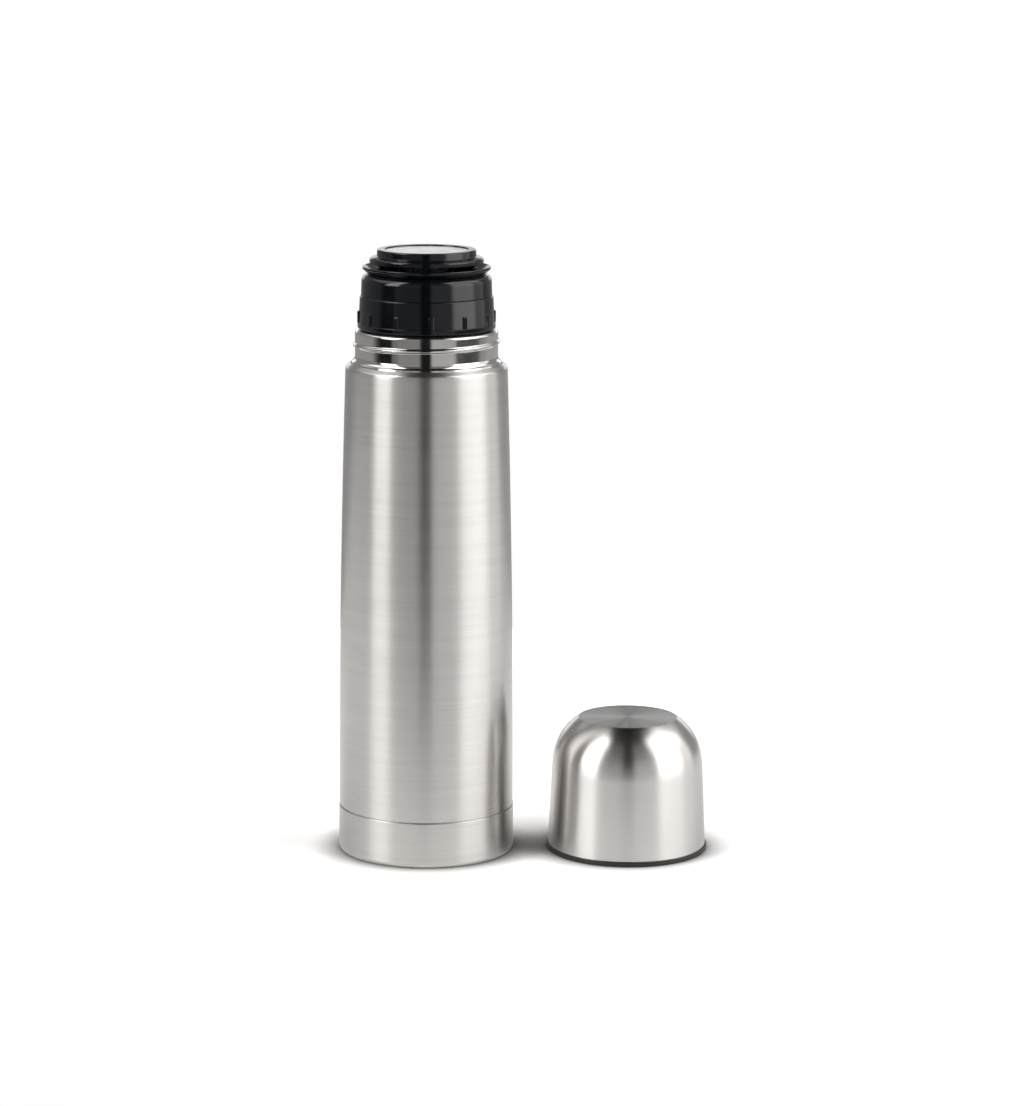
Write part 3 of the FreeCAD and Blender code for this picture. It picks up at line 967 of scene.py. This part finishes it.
def floor():
    """Table that the flask and the cup stand on."""
    left, right, front, back = -0.9, 1.0, -0.31, 0.42
    verts = [(left, front, 0), (right, front, 0), (right, back, 0), (left, back, 0)]
    mesh = bpy.data.meshes.new("floor")
    mesh.from_pydata(verts, [], [(0, 1, 2, 3)])
    mesh.materials.append(table_top())
    table = bpy.data.objects.new("floor", mesh)
    bpy.context.scene.collection.objects.link(table)


# Panels of light round the object: azimuth from and to, with 0 towards the camera and 90 to the
# right, elevation from and to, both in degrees with how far their edges fade, and brightness.
PANELS = {
    "right softbox": (48, 92, 12, -5, 64, 5, 2.7),
    "right softbox, far end": (92, 118, 12, -5, 64, 5, 1.1),
    "left softbox": (-76, -50, 8, 2, 62, 6, 4.4),
    "right wing": (98, 124, 16, 28, 60, 10, 1.4),
    "right wing, far end": (124, 155, 16, 28, 60, 10, 0.35),
    "left wing": (-120, -76, 16, 30, 60, 10, 1.3),
    "left wing, far end": (-155, -120, 16, 30, 60, 10, 0.35),
    "front right, low": (9, 50, 6, -9, 3, 4, 0.42),
    "front right": (9, 50, 6, 3, 24, 10, 0.52),
    "front right, high": (9, 50, 6, 24, 60, 10, 0.20),
    "front left, low": (-56, -9, 6, -9, 3, 4, 0.21),
    "front left": (-56, -9, 6, 3, 24, 10, 0.34),
    "front left, high": (-56, -9, 6, 24, 60, 10, 0.13),
    "table right": (8, 46, 4, -90, -9, 4, 0.80),
    "table left": (-46, -8, 4, -90, -9, 4, 0.52),
    "table behind, right": (95, 181, 14, -90, -7, 4, 0.40),
    "table behind, left": (-181, -92, 14, -90, -7, 4, 0.32),
    "wall behind, right": (112, 181, 14, -7, 40, 10, 0.30),
    "wall behind, left": (-181, -84, 14, -7, 40, 10, 0.26),
    "backdrop, right": (152, 181, 8, 0, 12, 4, 0.95),
    "backdrop, left": (-181, -152, 8, 0, 12, 4, 0.95),
}
ROOM = 0.012                     # brightness of the room between the panels


def within(tree, value, low, high, fade):
    """1 between two limits, with soft edges."""
    rise = {"Value": value, "From Min": low - fade / 2, "From Max": low + fade / 2}
    fall = {"Value": value, "From Min": high + fade / 2, "From Max": high - fade / 2}
    sides = [
        node(tree, "MapRange", edge, interpolation_type="SMOOTHSTEP").outputs["Result"]
        for edge in (rise, fall)
    ]
    return math_node(tree, "MULTIPLY", *sides)


def studio():
    """World: a white surround for the camera, and panels in a dim room for the light."""
    world = bpy.data.worlds.new("studio")
    bpy.context.scene.world = world
    world.use_nodes = True
    tree = world.node_tree
    tree.nodes.clear()
    toward = node(tree, "TexCoord").outputs["Generated"]
    x, y, z = node(tree, "SeparateXYZ", {0: toward}).outputs
    back = math_node(tree, "MULTIPLY", y, -1.0)
    azimuth = math_node(tree, "DEGREES", math_node(tree, "ARCTAN2", x, back))
    elevation = math_node(tree, "DEGREES", math_node(tree, "ARCSINE", z))
    total = None
    for a0, a1, a_fade, e0, e1, e_fade, strength in PANELS.values():
        across = within(tree, azimuth, a0, a1, a_fade)
        up = within(tree, elevation, e0, e1, e_fade)
        panel = math_node(tree, "MULTIPLY", math_node(tree, "MULTIPLY", across, up), strength)
        total = panel if total is None else math_node(tree, "ADD", total, panel)
    total = math_node(tree, "ADD", total, ROOM)
    light = node(tree, "Background", {"Color": (1.0, 0.99, 0.98, 1), "Strength": total})
    surround = node(tree, "Background", {"Color": (1, 1, 1, 1), "Strength": 1.0})
    seen = node(tree, "LightPath").outputs["Is Camera Ray"]
    mix = node(tree, "MixShader", {0: seen, 1: light.outputs[0], 2: surround.outputs[0]})
    out = node(tree, "OutputWorld")
    tree.links.new(mix.outputs[0], out.inputs["Surface"])


def camera():
    """Long lens, a little above the flask and looking down at it."""
    data = bpy.data.cameras.new("camera")
    data.lens = 116.08
    data.sensor_width = 36.0
    eye = bpy.data.objects.new("camera", data)
    eye.location = (0.0312, -1.400, 0.390)
    tilt = Matrix.Rotation(math.radians(79.12), 3, "X")
    roll = Matrix.Rotation(math.radians(0.28), 3, "Z")
    eye.rotation_euler = (tilt @ roll).to_euler()
    bpy.context.scene.collection.objects.link(eye)
    bpy.context.scene.camera = eye


def corners(box):
    """Box as lists, which json can write."""
    return [list(corner) for corner in box]


MAKERS = [
    barrel, neck, base_cap, inner_vessel,
    core, collar, housing, pour_ring, gasket, spring,
    button, disc, stem, valve_plate, valve_washer,
    cup_outside, cup_inside, cup_band,
]

for make in MAKERS:
    make()
finish_kept()
floor()
studio()
camera()
bpy.context.scene.view_settings.view_transform = "Standard"
bpy.context.scene.view_settings.look = "None"
